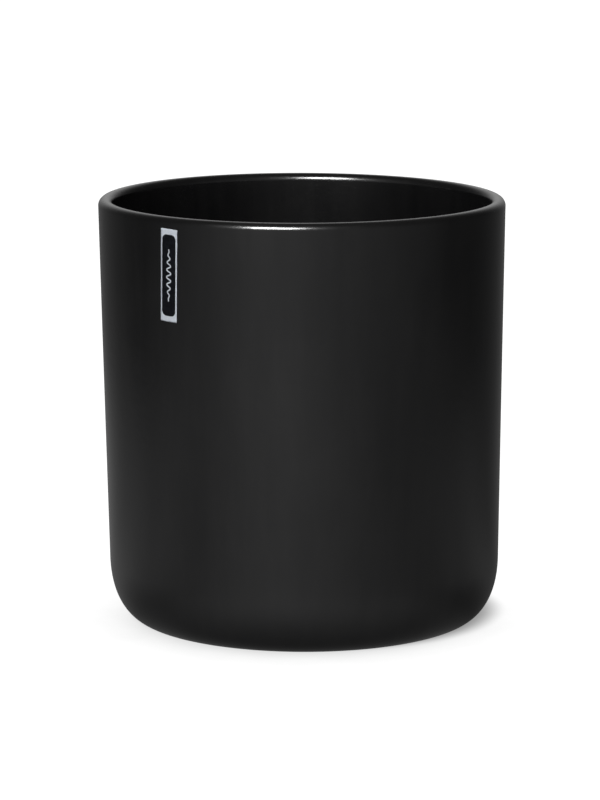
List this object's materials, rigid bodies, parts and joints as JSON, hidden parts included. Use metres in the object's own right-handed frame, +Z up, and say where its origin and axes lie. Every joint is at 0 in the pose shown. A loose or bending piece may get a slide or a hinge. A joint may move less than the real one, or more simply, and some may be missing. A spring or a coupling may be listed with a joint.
{
  "type": "candle jar",
  "caption": "Open-topped, straight-sided ceramic jar with a full round lip, a soft rounded base and a narrow stuck-on label near the rim; holds a poured candle or a small plant pot.",
  "frame": {"origin": "under the middle of the base, on the plane that the foot ring stands on", "axes": "+Z up along the vessel's axis; -Y is the front, and the label is on the front left, 39 degrees from -Y towards -X"},
  "size_m": [0.12, 0.12, 0.1265],
  "materials": {
    "black_satin_glaze": "satin black glaze over stoneware, wiped off the foot ring",
    "label_paper": "smooth white coated paper with a plain dark printed field"
  },
  "bodies": {
    "root": {"vessel_body": "black_satin_glaze", "label_strip": "label_paper"}
  },
  "joints": []
}
